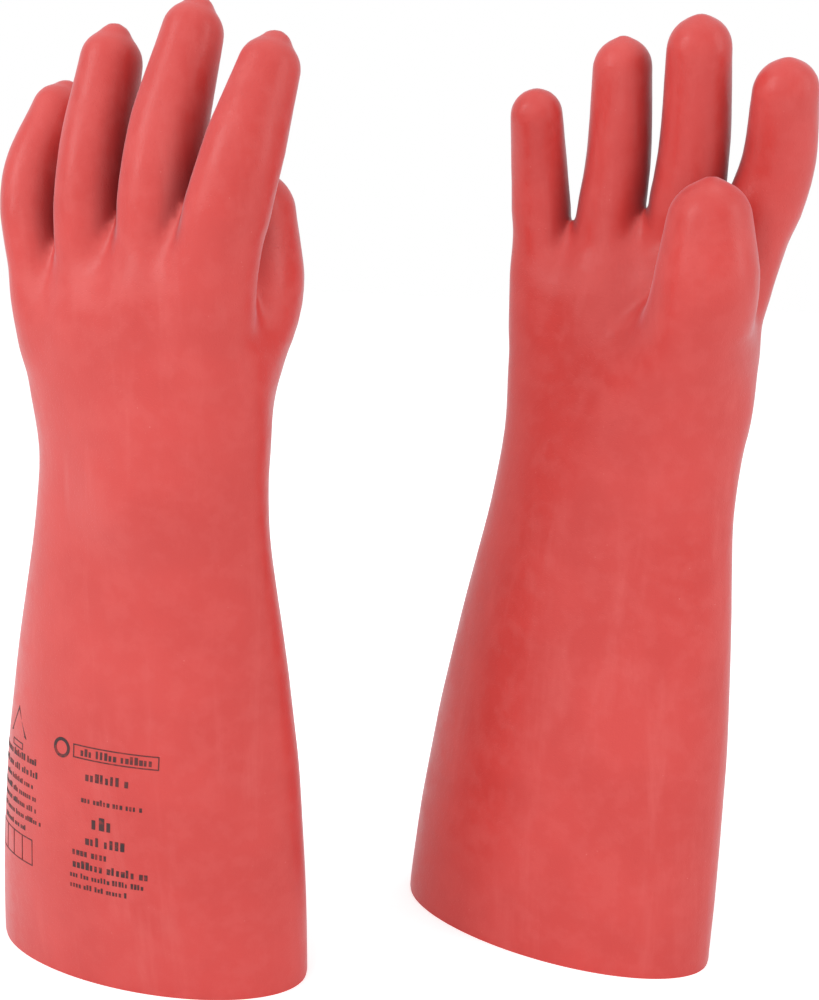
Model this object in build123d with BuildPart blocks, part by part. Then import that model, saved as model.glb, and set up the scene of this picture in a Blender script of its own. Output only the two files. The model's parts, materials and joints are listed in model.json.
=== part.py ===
from build123d import *
import os
from math import cos, radians, sin

# A pair of long electrical insulating gloves, standing side by side on their cut cuff edges.
#
# Each glove is a shell of thick dipped rubber.  It is divided where the rubber bends in use: at the
# wrist and part of the way up every digit.  Each division is a barrel: the piece nearer the cuff
# ends in a round band about the bending axis, and the next piece starts a small gap outside it.
# One glove is made in its own frame and copied: X runs towards the thumb, Y towards the palm and Z
# up the arm, with the origin at the middle of the cuff's edge.  The other hand is its mirror image.
# All sizes are in millimetres and all angles in degrees.

# Rubber
wall = 3.0  # thickness of the shell
joint_gap = 0.4  # clearance across every bend
barrel_share = 1.16  # radius of a bend's barrel over the half depth of the tube that bends

# Gauntlet, from the cut edge to the wrist
cuff_length = 235.0
cuff_width = 154.0
cuff_depth = 71.0
wrist_width = 105.0
wrist_depth = 52.0
wrist_centre = (19.5, -13.8)  # how far the wrist stands towards the thumb and towards the palm
wrist_twist = -6.5

# Share of the gauntlet's height, and how far its width, depth and place have gone to the wrist's
cuff_taper = [
    (0.10, 0.04, -0.10, 0.09),
    (0.21, 0.10, -0.16, 0.18),
    (0.43, 0.28, 0.0, 0.40),
    (0.64, 0.55, 0.37, 0.61),
    (0.85, 0.88, 0.79, 0.83),
]

# Palm, from the wrist to the web between the fingers
palm_length = 83.0
palm_depth = 44.0
palm_centre = (23.5, -24.5)
palm_twist = -8.5
web_gap = 1.2  # between neighbouring fingers, where they leave the web
web_depth = 31.0
web_centre = (23.5, -27.5)
web_twist = -9.0
palm_share = 0.72  # height of the palm's widest section between wrist and web
heel_widening = 0.6  # how far the heel, half way up to it, has gone to its width
heel_thinning = 0.25  # and to its depth

# Fingers, in order from the outside of the hand: width at the web and at the tip, and the points
# of the centre line from the place in the web: root inside the palm, knuckle and tip centre
fingers = {
    "little_finger": {
        "width": 26.0,
        "tip_width": 22.0,
        "root": (5, 3, -35),
        "knuckle": (-1, 2, 25),
        "tip": (3.5, 15.5, 51.5),
    },
    "ring_finger": {
        "width": 29.0,
        "tip_width": 24.5,
        "root": (-1, 6, -35),
        "knuckle": (3.8, -1, 32),
        "tip": (7.8, 7, 69),
    },
    "middle_finger": {
        "width": 31.0,
        "tip_width": 26.0,
        "root": (-4.5, 5, -35),
        "knuckle": (5, 0.5, 35),
        "tip": (10.5, 13.5, 76),
    },
    "index_finger": {
        "width": 31.5,
        "tip_width": 26.0,
        "root": (-9.5, 7, -35),
        "knuckle": (8, -0.5, 30),
        "tip": (12.5, 12, 61),
    },
}
finger_bend = 0.56  # share of each centre line at which the finger bends
narrowing_share = 0.45  # how far a finger has narrowed half way between its knuckle and its tip

# Thumb: widths from root to tip, and the points of its centre line
thumb_widths = [40.0, 38.0, 36.0, 28.0]
thumb_root = (20.5, -1, -10)  # from the middle of the wrist
thumb_base = (35.5, 4.5, 27)  # from the middle of the wrist
thumb_knuckle = (43.0, 6.0, 65)  # from the middle of the wrist, but from the front of the palm
thumb_tip = (42.5, 8.0, 96)  # the same
thumb_bend = 0.79
thumb_turn = 45.0  # angle of the thumb's bending axis to the palm's width

dome_angles = [22, 44, 62, 76, 86]  # sections that round off each fingertip

# Where each glove stands, and which way it is turned
left_place = (-114.0, -33.5)
left_turn = 5.0
right_place = (43.5, 69.5)
right_turn = -6.0

clear = 400.0  # size of the cutting blocks, larger than any piece they cut

# Worked out
wrist_height = cuff_length
web_height = cuff_length + palm_length
finger_widths = [finger["width"] for finger in fingers.values()]
palm_width = sum(finger_widths)


def between(low, high, share):
    return low + (high - low) * share


def direction(angle):
    return Vector(cos(radians(angle)), sin(radians(angle)), 0)


def sleeve_sections():
    """Height, width, depth, centre and twist of each section from the cut edge to the web."""
    sections = [(0, cuff_width, cuff_depth, (0, 0), 0)]
    for height_share, width_share, depth_share, place_share in cuff_taper:
        width = between(cuff_width, wrist_width, width_share)
        depth = between(cuff_depth, wrist_depth, depth_share)
        centre = (wrist_centre[0] * place_share, wrist_centre[1] * place_share)
        sections.append((cuff_length * height_share, width, depth, centre, wrist_twist * height_share**3))
    sections.append((wrist_height, wrist_width, wrist_depth, wrist_centre, wrist_twist))
    width = between(wrist_width, palm_width, heel_widening)
    depth = between(wrist_depth, palm_depth, heel_thinning)
    centre = tuple(between(low, high, 0.5) for low, high in zip(wrist_centre, palm_centre))
    twist = (wrist_twist + palm_twist) / 2
    sections.append((wrist_height + palm_length * palm_share / 2, width, depth, centre, twist))
    palm_height = wrist_height + palm_length * palm_share
    sections.append((palm_height, palm_width, palm_depth, palm_centre, palm_twist))
    sections.append((web_height, palm_width, web_depth, web_centre, web_twist))
    return sections


def sleeve(inset):
    """The gauntlet and palm as one closed solid, its sides and top moved in by inset."""
    sections = sleeve_sections()
    with BuildPart() as solid:
        for index, (height, width, depth, centre, twist) in enumerate(sections):
            is_top = index == len(sections) - 1
            with BuildSketch(Plane.XY.offset(height - inset if is_top else height)):
                with Locations(centre):
                    Ellipse(width / 2 - inset, depth / 2 - inset, rotation=twist)
        loft()
    return solid.part


def width_at(widths, share):
    """A digit's width at a share of its centre line, from the widths at even steps along it."""
    place = share * (len(widths) - 1)
    lower = min(int(place), len(widths) - 2)
    return between(widths[lower], widths[lower + 1], place - lower)


def digit(centre_line, widths, inset):
    """A closed tube about a centre line, with its width given at even steps and a round tip."""
    steps = 2 * (len(widths) - 1)
    with BuildPart() as solid:
        for share in [step / steps for step in range(steps + 1)]:
            with BuildSketch(Plane(centre_line @ share, x_dir=(1, 0, 0), z_dir=centre_line % share)):
                Circle(width_at(widths, share) / 2 - inset)
        tip_radius = widths[-1] / 2 - inset
        for angle in dome_angles:
            along = centre_line @ 1 + (centre_line % 1) * tip_radius * sin(radians(angle))
            with BuildSketch(Plane(along, x_dir=(1, 0, 0), z_dir=centre_line % 1)):
                Circle(tip_radius * cos(radians(angle)))
        loft()
    return solid.part


def bend_plane(point, axis, along):
    """A plane through a bend: X along the bending axis and Z towards the tip."""
    upward = along - axis * along.dot(axis)
    return Plane(point, x_dir=axis, z_dir=upward.normalized())


def near_side(bend, barrel_radius):
    """Everything on the cuff's side of a bend, with the barrel about the bending axis."""
    with BuildPart(bend) as region:
        Box(clear, clear, clear, align=(Align.CENTER, Align.CENTER, Align.MAX))
        Cylinder(barrel_radius, clear, rotation=(0, 90, 0))
    return region.part


# Centre lines, outer solids and hollows
lines = {}
widths = {}
across = -(sum(finger_widths) + 3 * web_gap) / 2
for name, finger in fingers.items():
    across += finger["width"] / 2
    place = Vector(*web_centre, web_height) + direction(web_twist) * across
    across += finger["width"] / 2 + web_gap
    knuckle = place + Vector(finger["knuckle"])
    with BuildLine() as centre_line:
        Spline(place + Vector(finger["root"]), place, knuckle, place + Vector(finger["tip"]))
    lines[name] = centre_line.line
    narrowing = between(finger["width"], finger["tip_width"], narrowing_share)
    widths[name] = [finger["width"]] * 3 + [narrowing, finger["tip_width"]]

wrist_middle = Vector(*wrist_centre, wrist_height)
palm_front = palm_centre[1] + palm_depth / 2 - wrist_centre[1]
thumb_points = [
    wrist_middle + Vector(thumb_root),
    wrist_middle + Vector(thumb_base),
    wrist_middle + Vector(thumb_knuckle) + Vector(0, palm_front, 0),
    wrist_middle + Vector(thumb_tip) + Vector(0, palm_front, 0),
]
with BuildLine() as centre_line:
    Spline(*thumb_points)
lines["thumb"] = centre_line.line
widths["thumb"] = thumb_widths

sleeve_outer = sleeve(0)
sleeve_hollow = sleeve(wall)
outers = {name: digit(lines[name], widths[name], 0) for name in lines}
hollows = {name: digit(lines[name], widths[name], wall) for name in lines}

# Bends
bends = {"wrist": bend_plane(wrist_middle, direction(wrist_twist), Vector(0, 0, 1))}
barrels = {"wrist": wrist_depth / 2 * barrel_share}
for name, line in lines.items():
    share = thumb_bend if name == "thumb" else finger_bend
    turn = thumb_turn if name == "thumb" else web_twist
    bends[name] = bend_plane(line @ share, direction(turn), line % share)
    barrels[name] = width_at(widths[name], share) / 2 * barrel_share
near = {name: near_side(bend, barrels[name]) for name, bend in bends.items()}
near_with_gap = {name: near_side(bend, barrels[name] + joint_gap) for name, bend in bends.items()}

# The pieces of one glove
pieces = {}

with BuildPart() as gauntlet:
    add(sleeve_outer)
    add(outers["thumb"])
    add(near["wrist"], mode=Mode.INTERSECT)
    add(sleeve_hollow, mode=Mode.SUBTRACT)
    add(hollows["thumb"], mode=Mode.SUBTRACT)
pieces["gauntlet"] = gauntlet.part

stubs = {}
for name in lines:
    with BuildPart() as stub:
        add(outers[name])
        add(near[name], mode=Mode.INTERSECT)
    stubs[name] = stub.part

with BuildPart() as hand:
    add(sleeve_outer)
    for name in lines:
        add(stubs[name])
    add(near_with_gap["wrist"], mode=Mode.SUBTRACT)
    add(sleeve_hollow, mode=Mode.SUBTRACT)
    for name in lines:
        add(hollows[name], mode=Mode.SUBTRACT)
pieces["hand"] = hand.part

for name in lines:
    with BuildPart() as tip:
        add(outers[name])
        add(near_with_gap[name], mode=Mode.SUBTRACT)
        add(hollows[name], mode=Mode.SUBTRACT)
    pieces[name] = tip.part

# Both gloves, with the middle of the pair's footprint box on the origin
placed = {}
for name, solid in pieces.items():
    twin = mirror(solid, about=Plane.XZ)
    placed["left_" + name] = Location((*left_place, 0), (0, 0, left_turn)) * solid
    placed["right_" + name] = Location((*right_place, 0), (0, 0, right_turn)) * twin
pair_box = Compound(children=list(placed.values())).bounding_box()
pair_middle = pair_box.center()

os.makedirs("parts", exist_ok=True)
for name, solid in placed.items():
    with BuildPart() as piece:
        with Locations((-pair_middle.X, -pair_middle.Y, 0)):
            add(solid)
    piece.part.label = name
    export_step(piece.part, f"parts/{name}.step")
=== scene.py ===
import bpy
import json
import math
import numpy as np
from mathutils import Matrix, Vector
from mathutils.bvhtree import BVHTree


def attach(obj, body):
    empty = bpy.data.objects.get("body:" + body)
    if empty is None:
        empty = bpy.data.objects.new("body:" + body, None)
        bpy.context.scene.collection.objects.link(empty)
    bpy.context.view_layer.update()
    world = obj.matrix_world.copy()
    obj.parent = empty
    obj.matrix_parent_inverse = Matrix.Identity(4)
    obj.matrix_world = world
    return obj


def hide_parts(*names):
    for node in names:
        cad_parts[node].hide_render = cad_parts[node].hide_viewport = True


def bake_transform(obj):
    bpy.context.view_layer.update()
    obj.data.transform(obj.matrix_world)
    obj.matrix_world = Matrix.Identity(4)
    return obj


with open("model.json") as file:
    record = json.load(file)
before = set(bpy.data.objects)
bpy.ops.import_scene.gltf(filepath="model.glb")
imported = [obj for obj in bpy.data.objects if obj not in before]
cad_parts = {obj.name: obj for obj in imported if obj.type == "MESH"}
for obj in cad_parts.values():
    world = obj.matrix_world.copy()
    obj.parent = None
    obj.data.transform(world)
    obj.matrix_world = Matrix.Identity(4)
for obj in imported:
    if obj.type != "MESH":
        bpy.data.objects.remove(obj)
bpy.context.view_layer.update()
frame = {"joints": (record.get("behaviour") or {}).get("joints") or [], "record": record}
joints = {joint["name"]: joint for joint in frame["joints"]}
mounts = {mount["name"]: mount for mount in frame["record"]["mounts"]}
scene = bpy.context.scene
mm = 0.001  # the rubber is shaped in millimetres and placed in metres


# A glove's own frame: X towards the thumb, Y towards the palm, Z up, from the middle of the cuff's mouth

def gloveFrame(side):
    mouth = Vector(mounts[side + "_arm_opening"]["pos_m"])
    edge = Vector(mounts[side + "_cuff_edge"]["pos_m"])
    across = (edge - mouth).normalized()
    up = Vector((0, 0, 1))
    toPalm = up.cross(across) * (1 if side == "left" else -1)  # the right glove is the left one mirrored
    turn = Matrix((across, toPalm, up)).transposed().to_4x4()
    return Matrix.Translation(mouth) @ turn @ Matrix.Scale(mm, 4)


def mix(low, high, share):
    return low + (high - low) * share


def smoothLine(points, steps):  # a curve through the points, evenly stepped along each stretch
    points = np.array(points, float)
    gaps = np.linalg.norm(np.diff(points, axis=0), axis=1)
    slopes = np.diff(points, axis=0) / gaps[:, None]
    tangents = np.vstack([slopes[:1], (slopes[1:] * gaps[:-1, None] + slopes[:-1] * gaps[1:, None])
                          / (gaps[1:] + gaps[:-1])[:, None], slopes[-1:]])
    curve = []
    for i, gap in enumerate(gaps):
        for s in np.arange(steps) / steps:
            curve.append(points[i] * (2 * s**3 - 3 * s**2 + 1) + points[i + 1] * (3 * s**2 - 2 * s**3)
                         + tangents[i] * gap * (s**3 - 2 * s**2 + s) + tangents[i + 1] * gap * (s**3 - s**2))
    curve.append(points[-1])
    return np.array(curve)


# Cuff, wrist and palm: an oval tube that changes as it goes up

sleeve = {
    "cuffLength": 235, "palmLength": 83,
    "cuff": {"width": 154, "depth": 71, "centre": (0, 0), "twist": 0},
    "wrist": {"width": 105, "depth": 52, "centre": (19.5, -13.8), "twist": -6.5},
    "palm": {"width": 117.5, "depth": 44, "centre": (23.5, -24.5), "twist": -8.5},
    "web": {"width": 117.5, "depth": 31, "centre": (23.5, -27.5), "twist": -9},
    "taper": [(0.10, 0.04, -0.10, 0.09), (0.21, 0.10, -0.16, 0.18), (0.43, 0.28, 0.0, 0.40),
              (0.64, 0.55, 0.37, 0.61), (0.85, 0.88, 0.79, 0.83)],  # height, then width, depth, place
    "palmShare": 0.72, "heelWidening": 0.6, "heelThinning": 0.25,
    "thumbSideIn": 7.5, "thumbSideFrom": 238, "thumbSideTo": 280,  # the hand is slimmer below the index finger
    "webThinning": 0.55, "webReach": 34,  # how far and how soon the hand thins towards the web
    "topRound": 8, "topDrop": 1,  # how softly the palm rounds over into the web, and how far below it
}


def sleeveRows():  # height, half width, half depth, x, y and twist in degrees
    cuff, wrist, palm, web = (sleeve[name] for name in ("cuff", "wrist", "palm", "web"))
    rows = [(0, cuff["width"] / 2, cuff["depth"] / 2, 0, 0, 0)]
    for height, wide, deep, along in sleeve["taper"]:
        rows.append((sleeve["cuffLength"] * height, mix(cuff["width"], wrist["width"], wide) / 2,
                     mix(cuff["depth"], wrist["depth"], deep) / 2, wrist["centre"][0] * along,
                     wrist["centre"][1] * along, wrist["twist"] * height**3))
    top = sleeve["cuffLength"]
    rows.append((top, wrist["width"] / 2, wrist["depth"] / 2, *wrist["centre"], wrist["twist"]))
    middle = [mix(a, b, 0.5) for a, b in zip(wrist["centre"], palm["centre"])]
    rows.append((top + sleeve["palmLength"] * sleeve["palmShare"] / 2,
                 mix(wrist["width"], palm["width"], sleeve["heelWidening"]) / 2,
                 mix(wrist["depth"], palm["depth"], sleeve["heelThinning"]) / 2,
                 *middle, mix(wrist["twist"], palm["twist"], 0.5)))
    rows.append((top + sleeve["palmLength"] * sleeve["palmShare"], palm["width"] / 2, palm["depth"] / 2,
                 *palm["centre"], palm["twist"]))
    rows.append((top + sleeve["palmLength"], web["width"] / 2, web["depth"] / 2, *web["centre"],
                 web["twist"]))
    return np.array(rows, float)


# Fingers and thumb: round tubes about curved lines. Points are root, knuckle and tip from the place in the web

fingers = {
    "little_finger": {"width": 26, "base": 25, "tip": 22,
                      "points": [(5, 3, -35), (0, 0, 0), (-1, 2, 25), (3.5, 15.5, 51.5)]},
    "ring_finger": {"width": 29, "base": 28.5, "tip": 24.5,
                    "points": [(-1, 6, -35), (0, 0, 0), (3.8, -1, 32), (7.8, 7, 69)]},
    "middle_finger": {"width": 31, "base": 29, "tip": 26,
                      "points": [(-4.5, 5, -35), (0.5, 0, 0), (5.3, 0.5, 35), (10.5, 13.5, 76)]},
    "index_finger": {"width": 31.5, "base": 29, "tip": 26,
                     "points": [(-14, 7, -35), (-3, 0, 0), (7, -0.5, 30), (12.5, 12, 61)]},
}
thumb = {"widths": [50, 48, 45, 41.5, 34],
         "points": [(11, -3, -10), (25, 1, 27), (40, 13.3, 65), (41.3, 16, 94)]}  # from the wrist
pair = {  # the two gloves came off different moulds
    "left": {"crotches": [322, 332, 337],
             "lift": {"index_finger": 3.4, "middle_finger": 2, "ring_finger": -0.4, "thumb": 2},
             "slimmer": {"ring_finger": 1, "middle_finger": 3, "index_finger": 3}, "pointed": 0.68},
    "right": {"crotches": [326, 331, 334], "lift": {"index_finger": -2, "ring_finger": 1, "thumb": -2},
              "slimmer": {}, "pointed": 0.50},
}
digitShape = {"webGap": 1.2, "steps": 8, "narrowing": 0.45, "pointedWidth": 0.56,
              "slimmerShift": 0.4, "thumbPointed": 0.50}  # a slimmer tip leans towards the thumb


def digitRun(line, widths, pointed):  # centre points and radii, with a slightly pointed tip
    share = np.linspace(0, 1, len(line))
    radii = np.interp(share, np.linspace(0, 1, len(widths)), widths) / 2
    end = line[-1] - line[-2]
    nose = line[-1] + end / np.linalg.norm(end) * radii[-1] * pointed
    return np.vstack([line, nose]), np.append(radii, radii[-1] * digitShape["pointedWidth"])


def digitRuns(side):
    runs = {}
    web = np.array([*sleeve["web"]["centre"], sleeve["cuffLength"] + sleeve["palmLength"]], float)
    turn = math.radians(sleeve["web"]["twist"])
    row = np.array([math.cos(turn), math.sin(turn), 0])
    across = -(sum(finger["width"] for finger in fingers.values()) + 3 * digitShape["webGap"]) / 2
    for name, finger in fingers.items():
        across += finger["width"] / 2
        points = [web + row * across + point for point in finger["points"]]
        points[-1][2] += pair[side]["lift"].get(name, 0)
        slimmer = pair[side]["slimmer"].get(name, 0)
        points[-1][0] += slimmer * digitShape["slimmerShift"]
        line = smoothLine(points, digitShape["steps"])
        across += finger["width"] / 2 + digitShape["webGap"]
        narrow = mix(finger["width"], finger["tip"], digitShape["narrowing"])
        widths = [finger["base"]] * 2 + [finger["width"], narrow, finger["tip"] - slimmer]
        runs[name] = digitRun(line, widths, pair[side]["pointed"])
    wrist = np.array([*sleeve["wrist"]["centre"], sleeve["cuffLength"]], float)
    points = [wrist + point for point in thumb["points"]]
    points[-1][2] += pair[side]["lift"]["thumb"]
    line = smoothLine(points, digitShape["steps"])
    runs["thumb"] = digitRun(line, thumb["widths"], digitShape["thumbPointed"])
    return runs


rows = sleeveRows()


# The rubber's surface is where a field of distances is nothing. Forms melt together where the hand is soft

skin = {
    "cell": 1.8, "room": 6,
    "wall": 3.0,
    "handMelt": 11, "tipMelt": 2.6, "meltReach": 26,  # how the fingers melt into the palm and come apart
    "thumbMelt": 22, "thumbTipMelt": 3, "thumbMeltFrom": 268, "thumbMeltTo": 304,
    "slit": 2.0,
    "hollowDepth": 3.2, "hollowAt": (4, 0, 290), "hollowSize": (18, 26),
    "valleyDepth": 1.2, "valleyReach": 46, "valleyWidth": 6, "palmShare": 0.15,
    "rimSoft": 0.35,
    "smoothing": 5,
}


def crotchPlaces(form):  # where the web between each two neighbouring fingers is
    runs = form["runs"]
    names = list(fingers)
    places = []
    for name, other, z in zip(names[:-1], names[1:], form["crotches"]):
        a, b = runs[name][0], runs[other][0]
        places.append((np.interp(z, a[:, 2], a[:, 0]) + np.interp(z, a[:, 2], runs[name][1])
                       + np.interp(z, b[:, 2], b[:, 0]) - np.interp(z, b[:, 2], runs[other][1])))
    return np.array(places) / 2


def webLine(form, x):
    return np.interp(x, crotchPlaces(form), form["crotches"])


def melt(a, b, width):
    near = np.clip(width - np.abs(a - b), 0, None) / width
    return np.minimum(a, b) - near * near * width / 4


def ramp(value, low, high):
    share = np.clip((value - low) / (high - low), 0, 1)
    return share * share * (3 - 2 * share)


def rowAt(z):
    # a soft curve between the rows, so that no ring shows where two of them meet
    spread = np.array([-14, -7, 0, 7, 14.0])
    weights = np.array([1, 3, 4, 3, 1]) / 12
    return [sum(w * np.interp(np.clip(z + s, 0, rows[-1, 0]), rows[:, 0], rows[:, i])
                for s, w in zip(spread, weights)) for i in range(1, 6)]


def sleeveDistance(form, x, y, z):
    wide, deep, middleX, middleY, twist = rowAt(z)
    turn = np.radians(twist)
    along = (x - middleX) * np.cos(turn) + (y - middleY) * np.sin(turn)
    aside = (y - middleY) * np.cos(turn) - (x - middleX) * np.sin(turn)
    deep = deep * (1 - sleeve["webThinning"] * ramp(z, webLine(form, x) - sleeve["webReach"], webLine(form, x)))
    slim = sleeve["thumbSideIn"] * ramp(z, sleeve["thumbSideFrom"], sleeve["thumbSideTo"])
    wide = np.where(along > 0, wide - slim, wide)
    k0 = np.hypot(along / wide, aside / deep)
    k1 = np.hypot(along / wide**2, aside / deep**2) + 1e-9
    oval = k0 * (k0 - 1) / k1
    oval = np.where(k0 < 0.2, -deep * 0.8, oval)
    # a hollow in the palm, and shallow valleys between the knuckles on the back and in the palm
    atX, atY, atZ = skin["hollowAt"]
    hollow = np.exp(-((along - atX) / skin["hollowSize"][0]) ** 2 - ((z - atZ) / skin["hollowSize"][1]) ** 2)
    oval = oval + skin["hollowDepth"] * hollow * ramp(aside, 0, 12)
    for atX, top in zip(crotchPlaces(form), form["crotches"]):
        below = top - z
        middle = atX + (middleX - atX) * np.clip(below, 0, 80) / 260
        valley = np.exp(-((x - middle) / skin["valleyWidth"]) ** 2) * (1 - ramp(below, 0, skin["valleyReach"]))
        oval = oval + skin["valleyDepth"] * valley * np.where(aside < 0, 1.0, skin["palmShare"])
    return -melt(-oval, -(z - webLine(form, x) + sleeve["topDrop"]), sleeve["topRound"])


def digitDistance(form, name, x, y, z):
    line, radii = form["runs"][name]
    place = np.stack([x, y, z], axis=-1)
    best = np.full(x.shape, 1e3)
    for a, b, ra, rb in zip(line[:-1], line[1:], radii[:-1], radii[1:]):
        step = b - a
        share = np.clip((place - a) @ step / (step @ step), 0, 1)
        away = np.linalg.norm(place - a - share[..., None] * step, axis=-1)
        best = np.minimum(best, away - (ra + (rb - ra) * share))
    return best


def slitDistance(form, name, other, low, x, z):  # a thin gap between two neighbours above their crotch
    runs = form["runs"]
    a, b = runs[name][0], runs[other][0]
    ax, bx = np.interp(z, a[:, 2], a[:, 0]), np.interp(z, b[:, 2], b[:, 0])
    ra, rb = np.interp(z, a[:, 2], runs[name][1]), np.interp(z, b[:, 2], runs[other][1])
    middle = ((ax + ra) + (bx - rb)) / 2
    across = np.abs(x - middle) - skin["slit"] / 2
    return -melt(-across, -(low - z), 1.2)


def makeField(form):
    cell = skin["cell"]
    runs = form["runs"]
    room = skin["room"]
    reach = [np.concatenate([line[:, i] + side * (radii + room) for line, radii in runs.values()
                             for side in (-1, 1)]
                            + [rows[:, 3 + i] + side * (rows[:, 1 + i] + room) for side in (-1, 1)])
             for i in (0, 1)]
    low = np.array([reach[0].min(), reach[1].min(), -3.5 * cell])
    top = max(line[-1, 2] + radii[-1] for line, radii in runs.values())
    high = np.array([reach[0].max(), reach[1].max(), top + room])
    axes = [np.arange(low[i], high[i], cell) for i in range(3)]
    x, y, z = np.meshgrid(*axes, indexing="ij")
    field = sleeveDistance(form, x, y, z)
    order = list(fingers)
    for name in order + ["thumb"]:
        if name == "thumb":
            for one, other, height in zip(order[:-1], order[1:], form["crotches"]):
                field = np.maximum(field, -slitDistance(form, one, other, height, x, z))
        line, radii = runs[name]
        margin = radii.max() + 12
        span = [slice(np.searchsorted(axes[i], line[:, i].min() - margin),
                      np.searchsorted(axes[i], line[:, i].max() + margin)) for i in range(3)]
        span = tuple(span)
        digit = digitDistance(form, name, x[span], y[span], z[span])
        if name == "thumb":
            width = mix(skin["thumbMelt"], skin["thumbTipMelt"],
                        ramp(z[span], skin["thumbMeltFrom"], skin["thumbMeltTo"]))
        else:
            web = webLine(form, x[span])
            width = mix(skin["handMelt"], skin["tipMelt"], ramp(z[span], web - skin["meltReach"], web))
        field[span] = melt(field[span], digit, width)
    return field, low, cell


def netSurface(field, low, cell):  # one vertex in every cell that the surface crosses
    inside = field < 0
    corners = [(i, j, k) for i in (0, 1) for j in (0, 1) for k in (0, 1)]

    def corner(values, offset):
        return values[tuple(slice(o, values.shape[axis] - 1 + o) for axis, o in enumerate(offset))]

    count = sum(corner(inside, offset).astype(np.uint8) for offset in corners)
    active = (count > 0) & (count < 8)
    index = np.full(active.shape, -1)
    index[active] = np.arange(active.sum())
    total = np.zeros((int(active.sum()), 3))
    hits = np.zeros(int(active.sum()))
    for offset in corners:
        for axis in range(3):
            if offset[axis]:
                continue
            far = list(offset)
            far[axis] = 1
            a, b = corner(field, offset)[active], corner(field, far)[active]
            crossing = (a < 0) != (b < 0)
            share = np.where(crossing, a / np.where(crossing, a - b, 1), 0)
            point = np.repeat(np.array(offset, float)[None], len(a), axis=0)
            point[:, axis] += share
            total[crossing] += point[crossing]
            hits[crossing] += 1
    places = low + (np.argwhere(active) + total / hits[:, None]) * cell
    faces = []
    for axis in range(3):
        b, c = (axis + 1) % 3, (axis + 2) % 3
        first = [slice(None)] * 3
        second = [slice(None)] * 3
        first[axis], second[axis] = slice(0, -1), slice(1, None)
        for other in (b, c):
            first[other] = second[other] = slice(1, -1)
        lower, upper = inside[tuple(first)], inside[tuple(second)]
        for sign in (True, False):
            cells = np.argwhere((lower == sign) & (upper != sign))
            quad = []
            for stepB, stepC in ((0, 0), (1, 0), (1, 1), (0, 1)):
                at = cells.copy()
                at[:, b] += stepB
                at[:, c] += stepC
                quad.append(index[tuple(at.T)])
            quad = np.array(quad).T
            faces.append(quad if sign else quad[:, ::-1])
    return places, np.vstack(faces)


def edgesOf(faces):
    ends = np.vstack([faces[:, [i, (i + 1) % 4]] for i in range(4)])
    return np.unique(np.sort(ends, axis=1), axis=0)


def relax(places, faces, rounds, still):
    edges = edgesOf(faces)
    number = np.bincount(edges.ravel(), minlength=len(places))
    for turn in range(rounds * 2):
        pull = 0.5 if turn % 2 == 0 else -0.52  # the second pull stops the form from shrinking
        total = np.zeros_like(places)
        for axis in range(3):
            total[:, axis] = (np.bincount(edges[:, 0], places[edges[:, 1], axis], len(places))
                              + np.bincount(edges[:, 1], places[edges[:, 0], axis], len(places)))
        step = total / np.maximum(number, 1)[:, None] - places
        step[still, 2] = 0
        places = places + step * pull
    return places


def vertexNormals(places, faces):
    a, b, c, d = (places[faces[:, i]] for i in range(4))
    area = np.cross(c - a, d - b)
    normals = np.zeros_like(places)
    for i in range(4):
        for axis in range(3):
            normals[:, axis] += np.bincount(faces[:, i], area[:, axis], len(places))
    return normals / np.maximum(np.linalg.norm(normals, axis=1), 1e-9)[:, None]


def makeForm(side):
    form = {"side": side, "runs": digitRuns(side), "crotches": pair[side]["crotches"]}
    places, faces = netSurface(*makeField(form))
    cell = skin["cell"]
    heights = places[faces][:, :, 2]
    faces = faces[(heights > -cell * 0.7).all(axis=1) & (heights > cell * 0.5).any(axis=1)]
    used, flat = np.unique(faces, return_inverse=True)
    places, faces = places[used], flat.reshape(-1, 4)
    rim = places[:, 2] < cell * 0.5
    places[rim, 2] = 0
    places = relax(places, faces, skin["smoothing"], rim)
    normals = vertexNormals(places, faces)
    normals[rim, 2] = 0
    normals[rim] /= np.linalg.norm(normals[rim], axis=1)[:, None]
    inner = places - normals * skin["wall"]
    inner[rim, 2] = 0
    places[rim] -= normals[rim] * skin["rimSoft"]
    form.update(outer=places, faces=faces, normals=normals, inner=inner)
    # painted shade for the clefts between the digits, kept with the form
    form["clefts"] = paintedCleftShadeShare(form)
    print(side, "rubber shaped:", len(places), "vertices, up to", round(float(places[:, 2].max()), 1), "mm")
    return form


# Each glove has a skin for the cuff and hand, and one for each digit from where it bends

parts = {"digitStart": 12, "digitEnd": 18, "thumbStart": 8, "thumbEnd": 24, "wristBelow": 30, "wristAbove": 28,
         "startBelowCrotch": 3, "thumbLowest": 304,
         # the last three set where painted shade darkens the rubber between neighbouring digits
         "paintedShadeFacing": (0.25, 0.9), "paintedShadeReach": (1, 15), "paintedShadeHeights": (300, 330)}


def bendOf(form, name):  # where a digit starts and stops turning, in the glove's frame
    side = form["side"]
    hinge = np.array(gloveFrame(side).inverted() @ Vector(joints[side + "_" + name + "_bend"]["pos_m"]))
    line = form["runs"][name][0]
    beside = [height for i, height in enumerate(form["crotches"]) if list(fingers).index(name) in (i, i + 1)
              ] if name in fingers else [parts["thumbLowest"] + parts["startBelowCrotch"]]
    lowest = max(beside) - parts["startBelowCrotch"]
    nearest = np.argmin(np.linalg.norm(line - hinge, axis=1))
    along = line[min(nearest + 2, len(line) - 1)] - line[max(nearest - 2, 0)]
    along /= np.linalg.norm(along)
    below, above = (parts["thumbStart"], parts["thumbEnd"]) if name == "thumb" else (
        parts["digitStart"], parts["digitEnd"])
    start = hinge - along * below
    lift = max(0, lowest - start[2]) / along[2]
    return start + along * lift, hinge + along * above


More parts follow.
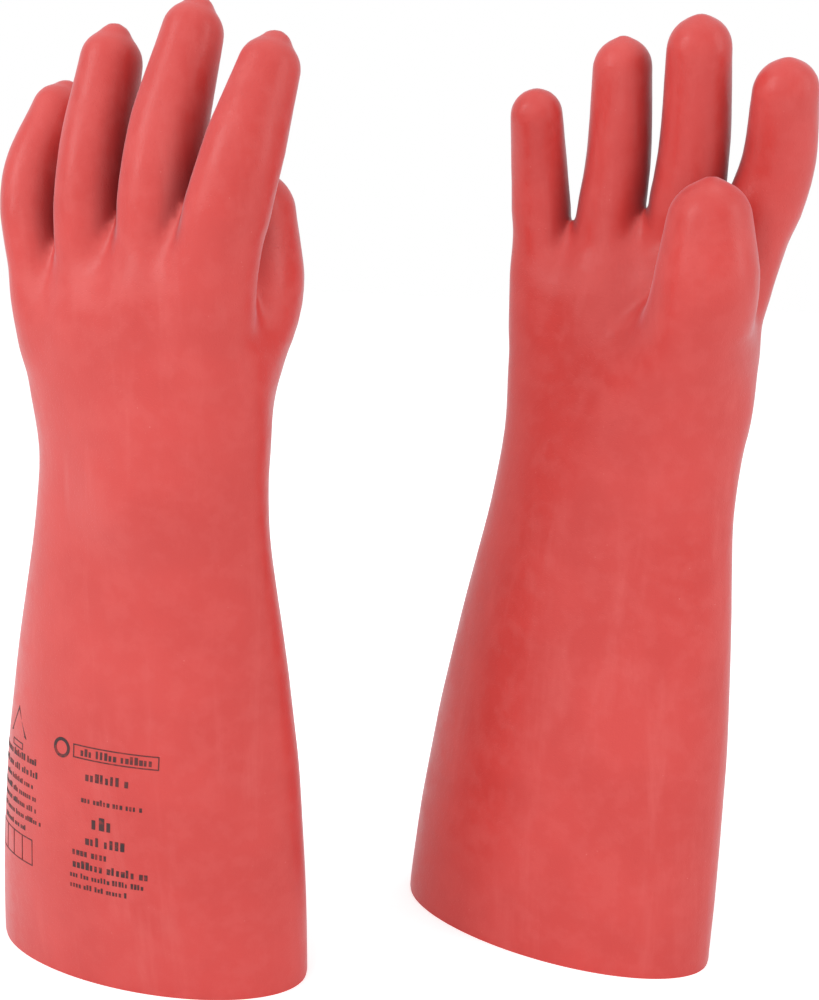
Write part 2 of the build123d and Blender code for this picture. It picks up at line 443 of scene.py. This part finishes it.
def splitFaces(form):  # which digit each face belongs to, or -1 for the cuff and hand
    middles = form["outer"][form["faces"]].mean(axis=1)
    names = list(form["runs"])
    near = np.argmin([digitDistance(form, name, *middles.T) for name in names], axis=0)
    owner = np.full(len(middles), -1)
    for i, name in enumerate(names):
        start, end = bendOf(form, name)
        along = (end - start) / np.linalg.norm(end - start)
        owner[(near == i) & ((middles - start) @ along > -skin["cell"] * 0.9)] = i
    return names, owner


def paintedCleftShadeShare(form):  # painted shade: 1 where the rubber faces a neighbouring digit close by, where the clefts are darkened
    away = np.sort([digitDistance(form, name, *form["outer"].T) for name in form["runs"]], axis=0)[1]
    facing = ramp(np.abs(form["normals"][:, 0]), *parts["paintedShadeFacing"])
    above = ramp(form["outer"][:, 2], *parts["paintedShadeHeights"])
    return (1 - ramp(away, *parts["paintedShadeReach"])) * facing * above


def borderEdges(faces):
    ends = np.vstack([faces[:, [i, (i + 1) % 4]] for i in range(4)])
    keys = np.sort(ends, axis=1)
    found, first, count = np.unique(keys, axis=0, return_index=True, return_counts=True)
    return ends[first[count == 1]]


def addMesh(name, places, faces, normals, side, material, clefts=None):
    frameOf = gloveFrame(side)
    turn = np.array(frameOf.to_3x3()) / mm
    standing = places @ np.array(frameOf.to_3x3()).T + np.array(frameOf.translation)
    if side == "right":
        faces = faces[:, ::-1]
    mesh = bpy.data.meshes.new(name)
    mesh.from_pydata(standing.tolist(), [], faces.tolist())
    if normals is not None:
        mesh.polygons.foreach_set("use_smooth", [True] * len(mesh.polygons))
        mesh.normals_split_custom_set_from_vertices((normals @ turn.T).tolist())
    marked = mesh.attributes.new("glovePlace", "FLOAT_VECTOR", "POINT")
    shift = np.array([0.0, 0.0, 0.0 if side == "left" else 1.7])  # the two gloves don't wear alike
    marked.data.foreach_set("vector", (places * mm + shift).astype(np.float32).ravel())
    # painted shade: how much the clefts between the digits are darkened, carried to the material
    if clefts is not None:
        shaded = mesh.attributes.new("glovePaintedCleftShade", "FLOAT", "POINT")
        shaded.data.foreach_set("value", clefts.astype(np.float32))
    mesh.materials.append(material)
    made = bpy.data.objects.new(name, mesh)
    scene.collection.objects.link(made)
    return made


def shell(form, faces):  # outside, inside and the edges between them, as one closed skin
    used, flat = np.unique(faces, return_inverse=True)
    faces = flat.reshape(-1, 4)
    count = len(used)
    border = borderEdges(faces)
    wallQuads = np.column_stack([border[:, 1], border[:, 0], border[:, 0] + count, border[:, 1] + count])
    places = np.vstack([form["outer"][used], form["inner"][used]])
    normals = np.vstack([form["normals"][used], -form["normals"][used]])
    # the painted cleft shade goes to both the outside and the inside
    clefts = np.tile(form["clefts"][used], 2)
    return places, np.vstack([faces, faces[:, ::-1] + count, wallQuads]), normals, clefts


# Finishes: the groups give masks, heights and colours that change over the rubber

def newGroup(name, inputs, outputs):
    group = bpy.data.node_groups.new(name, "ShaderNodeTree")
    for title, kind, value in inputs:
        socket = group.interface.new_socket(title, in_out="INPUT", socket_type="NodeSocket" + kind)
        if value is not None:
            socket.default_value = value
    for title, kind in outputs:
        group.interface.new_socket(title, in_out="OUTPUT", socket_type="NodeSocket" + kind)
    return group, group.nodes.new("NodeGroupInput"), group.nodes.new("NodeGroupOutput")


def addNode(tree, kind, settings=None, **values):
    made = tree.nodes.new("ShaderNode" + kind)
    for name, value in (settings or {}).items():
        setattr(made, name, value)
    for name, value in values.items():
        socket = made.inputs[name.replace("_", " ")]
        if isinstance(value, bpy.types.NodeSocket):
            tree.links.new(value, socket)
        else:
            socket.default_value = value
    return made


def maths(tree, operation, a, b=0.0, c=0.0, clamp=False):
    made = tree.nodes.new("ShaderNodeMath")
    made.operation = operation
    made.use_clamp = clamp
    for socket, value in zip(made.inputs, (a, b, c)):
        if isinstance(value, bpy.types.NodeSocket):
            tree.links.new(value, socket)
        else:
            socket.default_value = value
    return made.outputs[0]


def between(tree, value, low, high):  # 0 below low, 1 above high, softly
    made = tree.nodes.new("ShaderNodeMapRange")
    made.interpolation_type = "SMOOTHSTEP"
    for name, given in (("Value", value), ("From Min", low), ("From Max", high)):
        if isinstance(given, bpy.types.NodeSocket):
            tree.links.new(given, made.inputs[name])
        else:
            made.inputs[name].default_value = given
    return made.outputs["Result"]


def stretched(tree, vector, x, y, z):
    made = tree.nodes.new("ShaderNodeVectorMath")
    made.operation = "MULTIPLY"
    tree.links.new(vector, made.inputs[0])
    made.inputs[1].default_value = (x, y, z)
    return made.outputs[0]


def cloudGroup():  # soft clouds where the dip ran thicker or thinner
    group, given, out = newGroup("dipClouds", [("Vector", "Vector", None), ("Size", "Float", 30.0),
                                               ("Detail", "Float", 3.0), ("Low", "Float", 0.4),
                                               ("High", "Float", 0.6)], [("Mask", "Float")])
    noise = addNode(group, "TexNoise", None, Vector=given.outputs["Vector"], Scale=given.outputs["Size"],
                    Detail=given.outputs["Detail"], Roughness=0.55)
    group.links.new(between(group, noise.outputs["Fac"], given.outputs["Low"], given.outputs["High"]),
                    out.inputs["Mask"])
    return group


def speckGroup():  # small pale specks of powder, thinned out by a cloud
    group, given, out = newGroup("powderSpecks", [("Vector", "Vector", None), ("Size", "Float", 500.0),
                                                  ("Spread", "Float", 0.12), ("Share", "Float", 0.5)],
                                 [("Mask", "Float")])
    cells = addNode(group, "TexVoronoi", None, Vector=given.outputs["Vector"], Scale=given.outputs["Size"],
                    Randomness=1.0)
    chosen = addNode(group, "SeparateColor", None, Color=cells.outputs["Color"])
    near = between(group, cells.outputs["Distance"], given.outputs["Spread"], 0.0)
    kept = maths(group, "GREATER_THAN", chosen.outputs[0], given.outputs["Share"])
    group.links.new(maths(group, "MULTIPLY", near, kept), out.inputs["Mask"])
    return group


def streakGroup():  # faint runs down the length of the glove, and light rubs
    group, given, out = newGroup("dipStreaks", [("Vector", "Vector", None), ("Size", "Float", 60.0),
                                                ("Low", "Float", 0.5), ("High", "Float", 0.75)],
                                 [("Mask", "Float")])
    long = stretched(group, given.outputs["Vector"], 1.0, 1.0, 0.12)
    noise = addNode(group, "TexNoise", None, Vector=long, Scale=given.outputs["Size"], Detail=4.0,
                    Roughness=0.6, Distortion=0.3)
    group.links.new(between(group, noise.outputs["Fac"], given.outputs["Low"], given.outputs["High"]),
                    out.inputs["Mask"])
    return group


def grainGroup():  # height of the dipped surface: broad waves, a faint orange peel and pits
    group, given, out = newGroup("dipGrain", [("Vector", "Vector", None), ("Waves", "Float", 45.0),
                                              ("Peel", "Float", 420.0), ("Peel Depth", "Float", 0.25),
                                              ("Pits", "Float", 900.0), ("Pit Depth", "Float", 0.3)],
                                 [("Height", "Float")])
    waves = addNode(group, "TexNoise", None, Vector=given.outputs["Vector"], Scale=given.outputs["Waves"],
                    Detail=2.0)
    peel = addNode(group, "TexNoise", None, Vector=given.outputs["Vector"], Scale=given.outputs["Peel"],
                   Detail=3.0)
    pits = addNode(group, "TexVoronoi", None, Vector=given.outputs["Vector"], Scale=given.outputs["Pits"])
    pit = between(group, pits.outputs["Distance"], 0.0, 0.35)
    total = maths(group, "MULTIPLY_ADD", peel.outputs["Fac"], given.outputs["Peel Depth"],
                  waves.outputs["Fac"])
    group.links.new(maths(group, "MULTIPLY_ADD", pit, given.outputs["Pit Depth"], total),
                    out.inputs["Height"])
    return group


clouds, specks, streaks, grain = cloudGroup(), speckGroup(), streakGroup(), grainGroup()

rubberLook = {
    "deep": (0.590, 0.044, 0.037, 1), "mid": (0.660, 0.058, 0.050, 1), "light": (0.740, 0.140, 0.128, 1),
    # cleft is a dark red that paints shade into the clefts between the digits
    "powder": (0.86, 0.46, 0.42, 1), "paintedCleftShade": (0.150, 0.016, 0.020, 1), "paintedCleftShadeShare": 0.66,
    "cloudSize": 22, "mottleSize": 110, "streakSize": 70, "dustSize": 55,
    "deepLeast": 0.4, "mottleShare": 0.16, "streakShare": 0.35, "powderShare": 0.55,
    "speckSize": 420, "speckSpread": 0.13, "speckShare": 0.72,
    "rough": 0.36, "roughMore": 0.52, "bump": 0.22, "bumpDepth": 0.0012,
    "sheen": 0.42, "sheenRoughness": 0.36, "sheenTint": (0.92, 0.84, 0.93, 1),
}


def placed(tree, group, **values):
    made = tree.nodes.new("ShaderNodeGroup")
    made.node_tree = group
    for name, value in values.items():
        socket = made.inputs[name.replace("_", " ")]
        if isinstance(value, bpy.types.NodeSocket):
            tree.links.new(value, socket)
        else:
            socket.default_value = value
    return made.outputs[0]


def mixColour(tree, a, b, share):
    made = tree.nodes.new("ShaderNodeMix")
    made.data_type = "RGBA"
    for index, value in ((6, a), (7, b), (0, share)):
        if isinstance(value, bpy.types.NodeSocket):
            tree.links.new(value, made.inputs[index])
        else:
            made.inputs[index].default_value = value
    return made.outputs[2]


def emptyMaterial(name):
    made = bpy.data.materials.new(name)
    made.use_nodes = True
    tree = made.node_tree
    shader = tree.nodes["Principled BSDF"]
    where = tree.nodes.new("ShaderNodeAttribute")
    where.attribute_name = "glovePlace"
    return made, tree, shader, where.outputs["Vector"]


def rubberMaterial():
    look = rubberLook
    made, tree, shader, where = emptyMaterial("redRubber")
    broad = placed(tree, clouds, Vector=where, Size=look["cloudSize"], Detail=2.0, Low=0.35, High=0.65)
    mottle = placed(tree, clouds, Vector=where, Size=look["mottleSize"], Detail=4.0, Low=0.42, High=0.68)
    runsDown = placed(tree, streaks, Vector=where, Size=look["streakSize"], Low=0.52, High=0.80)
    powder = placed(tree, specks, Vector=where, Size=look["speckSize"], Spread=look["speckSpread"],
                    Share=look["speckShare"])
    dust = placed(tree, clouds, Vector=where, Size=look["dustSize"], Detail=5.0, Low=0.5, High=0.72)
    colour = mixColour(tree, look["deep"], look["mid"],
                       maths(tree, "MULTIPLY_ADD", broad, 1 - look["deepLeast"], look["deepLeast"]))
    colour = mixColour(tree, colour, look["light"], maths(tree, "MULTIPLY", mottle, look["mottleShare"]))
    colour = mixColour(tree, colour, look["light"], maths(tree, "MULTIPLY", runsDown, look["streakShare"]))
    dusted = maths(tree, "MULTIPLY", powder, dust)
    colour = mixColour(tree, colour, look["powder"], maths(tree, "MULTIPLY", dusted, look["powderShare"]))
    # painted shade: the clefts between the digits are darkened towards a dark red, where shade falls
    paintedCleftShade = tree.nodes.new("ShaderNodeAttribute")
    paintedCleftShade.attribute_name = "glovePaintedCleftShade"
    colour = mixColour(tree, colour, look["paintedCleftShade"],
                       maths(tree, "MULTIPLY", paintedCleftShade.outputs["Fac"], look["paintedCleftShadeShare"]))
    tree.links.new(colour, shader.inputs["Base Color"])
    wear = maths(tree, "MAXIMUM", mottle, runsDown)
    roughness = maths(tree, "MULTIPLY_ADD", wear, look["roughMore"] - look["rough"], look["rough"])
    tree.links.new(roughness, shader.inputs["Roughness"])
    height = placed(tree, grain, Vector=where)
    bump = addNode(tree, "Bump", None, Height=height, Strength=look["bump"], Distance=look["bumpDepth"])
    tree.links.new(bump.outputs["Normal"], shader.inputs["Normal"])
    shader.inputs["IOR"].default_value = 1.5
    shader.inputs["Sheen Weight"].default_value = look["sheen"]
    shader.inputs["Sheen Roughness"].default_value = look["sheenRoughness"]
    shader.inputs["Sheen Tint"].default_value = look["sheenTint"]
    return made


inkLook = {"ink": (0.030, 0.012, 0.014, 1), "worn": (0.30, 0.035, 0.032, 1), "wornShare": 0.75,
           "rough": 0.5, "roughMore": 0.75}


def inkMaterial():
    look = inkLook
    made, tree, shader, where = emptyMaterial("markingInk")
    worn = placed(tree, clouds, Vector=where, Size=380.0, Detail=5.0, Low=0.5, High=0.66)
    faded = placed(tree, clouds, Vector=where, Size=45.0, Detail=2.0, Low=0.35, High=0.75)
    share = maths(tree, "MULTIPLY", maths(tree, "MAXIMUM", worn, maths(tree, "MULTIPLY", faded, 0.5)),
                  look["wornShare"])
    tree.links.new(mixColour(tree, look["ink"], look["worn"], share), shader.inputs["Base Color"])
    tree.links.new(maths(tree, "MULTIPLY_ADD", worn, look["roughMore"] - look["rough"], look["rough"]),
                   shader.inputs["Roughness"])
    height = placed(tree, grain, Vector=where)
    bump = addNode(tree, "Bump", None, Height=height, Strength=0.15, Distance=0.0008)
    tree.links.new(bump.outputs["Normal"], shader.inputs["Normal"])
    return made


redRubber = rubberMaterial()
markingInk = inkMaterial()


def addSkins(form):
    side = form["side"]
    names, owner = splitFaces(form)
    places, faces, normals, clefts = shell(form, form["faces"][owner < 0])
    main = addMesh(side + "_glove_skin", places, faces, normals, side, redRubber, clefts)
    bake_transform(main)
    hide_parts(side + "_gauntlet", side + "_hand")
    for i, name in enumerate(names):
        places, faces, normals, clefts = shell(form, form["faces"][owner == i])
        made = addMesh(side + "_" + name + "_skin", places, faces, normals, side, redRubber, clefts)
        start, end = bendOf(form, name)
        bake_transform(made)
        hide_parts(side + "_" + name)
    print(side, "glove skins made")


# Marking printed on the back of the cuff: a badge, a framed strip, rows of blocks that spell nothing, boxes

marking = {
    "proud": 0.12, "sunk": 0.3, "middle": 267,
    "badge": {"at": (-20, 112.5), "size": 4.6, "line": 1.5},
    "strip": {"at": (-13.5, 109.5), "size": (41, 6.2), "line": 0.5},
    "stripRow": (-11, 112.6, 36, 3.4),
    "rows": [(-8.5, 102, 21, 4.0), (-10, 91, 31, 2.7), (-6, 81, 12.5, 6.0), (-8.5, 72, 21.5, 4.2),
             (-15, 65.5, 20, 3.4), (-15, 59.5, 40, 3.7), (-16, 54, 38, 2.5), (-16, 49, 30, 2.5),
             (-69, 101, 33, 3.0), (-69, 95, 34, 3.0), (-66, 89, 28, 2.4), (-69, 83.5, 34, 2.6),
             (-69, 78, 33, 2.6), (-69, 72.5, 36, 2.4), (-66, 67, 22, 2.4)],  # from, height, length, size
    "triangle": {"at": (-52, 108), "size": (13, 15), "line": 0.8},
    "smallBox": {"at": (-57, 103.6), "size": (10, 3.2), "line": 0.45},
    "boxes": {"at": (-70, 50), "size": (8.2, 13), "count": 4, "line": 0.5},
}


def surfaceOf(form):
    return BVHTree.FromPolygons(form["outer"].tolist(), form["faces"].tolist())


def onCuff(tree, across, height, out):  # a place on the rubber, from a distance round the cuff
    angles = np.radians(np.linspace(150, 330, 361))
    wide, deep, middleX, middleY, twist = (float(v) for v in rowAt(np.array(height, float)))
    x, y = wide * np.cos(angles), deep * np.sin(angles)
    run = np.concatenate([[0], np.cumsum(np.hypot(np.diff(x), np.diff(y)))])
    run -= np.interp(math.radians(marking["middle"]), angles, run)
    angle = np.interp(across, run, angles)
    guess = Vector((middleX + wide * math.cos(angle), middleY + deep * math.sin(angle), height))
    place, normal = tree.find_nearest(guess)[:2]
    return list(place + normal * out)


def addPatch(tree, corners, places, faces):  # a thin plate on the rubber with four given corners
    first = len(places)
    for out in (marking["proud"], -marking["sunk"]):
        places.extend(onCuff(tree, across, height, out) for across, height in corners)
    for quad in ((0, 1, 2, 3), (7, 6, 5, 4), (0, 4, 5, 1), (1, 5, 6, 2), (2, 6, 7, 3), (3, 7, 4, 0)):
        faces.append([first + corner for corner in quad])


def addBar(tree, at, size, places, faces):
    pieces = max(1, int(round(size[0] / 2)))
    for i in range(pieces):
        low, high = at[0] + size[0] * i / pieces, at[0] + size[0] * (i + 1) / pieces
        addPatch(tree, [(low, at[1]), (high, at[1]), (high, at[1] + size[1]), (low, at[1] + size[1])],
                 places, faces)


def addFrame(tree, at, size, line, places, faces):
    x, z = at
    wide, high = size
    for corner, side in (((x, z), (wide, line)), ((x, z + high - line), (wide, line)),
                         ((x, z + line), (line, high - 2 * line)),
                         ((x + wide - line, z + line), (line, high - 2 * line))):
        addBar(tree, corner, side, places, faces)


def addRing(tree, at, radius, line, corners, turn, places, faces):
    angles = [math.radians(turn + 360 * i / corners) for i in range(corners + 1)]
    for a, b in zip(angles[:-1], angles[1:]):
        addPatch(tree, [(at[0] + r * math.cos(c), at[1] + r * math.sin(c))
                        for c, r in ((a, radius - line), (a, radius), (b, radius), (b, radius - line))],
                 places, faces)


def addRow(tree, row, random, places, faces):  # blocks of uneven width in groups, which spell nothing
    x, z, length, size = row
    end = x + length
    step = size * 0.62
    group = 0
    while x < end - step * 0.5:
        if group <= 0:
            group = int(random.integers(3, 8))
            x += step * 0.7
        wide = step * random.uniform(0.45, 0.78)
        tall = size * random.choice([0.72, 0.72, 1.0])
        addBar(tree, (x, z - size / 2), (wide, tall), places, faces)
        x += step
        group -= 1


def addMarking(form):
    side = form["side"]
    tree = surfaceOf(form)
    random = np.random.default_rng(11)
    places, faces = [], []
    badge, strip, triangle = marking["badge"], marking["strip"], marking["triangle"]
    addRing(tree, badge["at"], badge["size"], badge["line"], 28, 0, places, faces)
    addFrame(tree, strip["at"], strip["size"], strip["line"], places, faces)
    for row in [marking["stripRow"]] + marking["rows"]:
        addRow(tree, row, random, places, faces)
    addRing(tree, (triangle["at"][0], triangle["at"][1] + 6), triangle["size"][1] * 0.6, triangle["line"] * 2,
            3, 90, places, faces)
    box = marking["smallBox"]
    addFrame(tree, box["at"], box["size"], box["line"], places, faces)
    boxes = marking["boxes"]
    for i in range(boxes["count"]):
        at = (boxes["at"][0] + i * (boxes["size"][0] - boxes["line"]), boxes["at"][1])
        addFrame(tree, at, boxes["size"], boxes["line"], places, faces)
    places = np.array(places)
    mesh = addMesh(side + "_cuff_marking", places, np.array(faces), None, side, markingInk)
    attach(mesh, side + "_gauntlet")
    print(side, "marking made:", len(faces), "faces")


for side in ("left", "right"):
    form = makeForm(side)
    addSkins(form)
    addMarking(form)



# Studio: a wide pale floor, white surroundings, soft lights and the camera

studio = {"floor": 6.0, "floorColour": (0.95, 0.95, 0.95, 1), "world": 0.60, "floorGlow": 0.45,
          "aim": (0.02576, -0.01756, 0.205), "azimuth": 26, "elevation": 14.55, "distance": 0.571,
          "lens": 50, "shift": (0.0035, 0.0276)}


def addFloor():
    half = studio["floor"] / 2
    mesh = bpy.data.meshes.new("floor")
    corners = [(-half, -half, 0), (half, -half, 0), (half, half, 0), (-half, half, 0)]
    mesh.from_pydata(corners, [], [(0, 1, 2, 3)])
    made = bpy.data.objects.new("floor", mesh)
    scene.collection.objects.link(made)
    paper = bpy.data.materials.new("palePaper")
    paper.use_nodes = True
    tree = paper.node_tree
    where = tree.nodes.new("ShaderNodeTexCoord")
    fibre = placed(tree, clouds, Vector=where.outputs["Object"], Size=40.0, Detail=6.0, Low=0.3, High=0.7)
    tree.links.new(mixColour(tree, studio["floorColour"], (0.97, 0.97, 0.97, 1), fibre),
                   tree.nodes["Principled BSDF"].inputs["Base Color"])
    tree.nodes["Principled BSDF"].inputs["Roughness"].default_value = 0.9
    tree.nodes["Principled BSDF"].inputs["Specular IOR Level"].default_value = 0.1
    seen = tree.nodes.new("ShaderNodeLightPath")  # the floor looks white and sends no more light for it
    tree.nodes["Principled BSDF"].inputs["Emission Color"].default_value = (1, 1, 1, 1)
    tree.links.new(maths(tree, "MULTIPLY", seen.outputs["Is Camera Ray"], studio["floorGlow"]),
                   tree.nodes["Principled BSDF"].inputs["Emission Strength"])
    mesh.materials.append(paper)


def addLamp(name, azimuth, elevation, distance, size, power):
    a, e = math.radians(azimuth), math.radians(elevation)
    back = Vector((math.sin(a) * math.cos(e), -math.cos(a) * math.cos(e), math.sin(e)))
    lamp = bpy.data.lights.new(name, "AREA")
    lamp.shape = "RECTANGLE"
    lamp.size, lamp.size_y = size
    lamp.energy = power
    made = bpy.data.objects.new(name, lamp)
    made.location = Vector(studio["aim"]) + back * distance
    made.rotation_mode = "QUATERNION"
    made.rotation_quaternion = (-back).to_track_quat("-Z", "Y")
    scene.collection.objects.link(made)


def addStudio():
    addFloor()
    world = bpy.data.worlds.new("whiteRoom")
    scene.world = world
    world.use_nodes = True
    tree = world.node_tree
    seen = tree.nodes.new("ShaderNodeLightPath")  # the backdrop is pure white, and lights the gloves less
    strength = maths(tree, "MULTIPLY_ADD", seen.outputs["Is Camera Ray"], 1 - studio["world"], studio["world"])
    tree.nodes["Background"].inputs["Color"].default_value = (1, 1, 1, 1)
    tree.links.new(strength, tree.nodes["Background"].inputs["Strength"])
    addLamp("keyLeft", -40, 28, 2.2, (0.7, 1.6), 13)
    addLamp("fillRight", 95, 20, 1.5, (0.45, 1.2), 4)
    addLamp("frontFill", 5, 25, 2.2, (2.0, 1.6), 7)
    addLamp("topSoft", 20, 82, 2.0, (3.0, 3.0), 16)
    scene.view_settings.view_transform = "Standard"


def addCamera():
    a, e = math.radians(studio["azimuth"]), math.radians(studio["elevation"])
    back = Vector((math.sin(a) * math.cos(e), -math.cos(a) * math.cos(e), math.sin(e)))
    lens = bpy.data.cameras.new("camera")
    lens.lens = studio["lens"]
    lens.sensor_width = 36
    lens.shift_x, lens.shift_y = studio["shift"]
    camera = bpy.data.objects.new("camera", lens)
    camera.location = Vector(studio["aim"]) + back * studio["distance"]
    camera.rotation_mode = "QUATERNION"
    camera.rotation_quaternion = (-back).to_track_quat("-Z", "Y")
    scene.collection.objects.link(camera)
    scene.camera = camera


addStudio()
addCamera()
bpy.context.view_layer.update()
print("scene done")
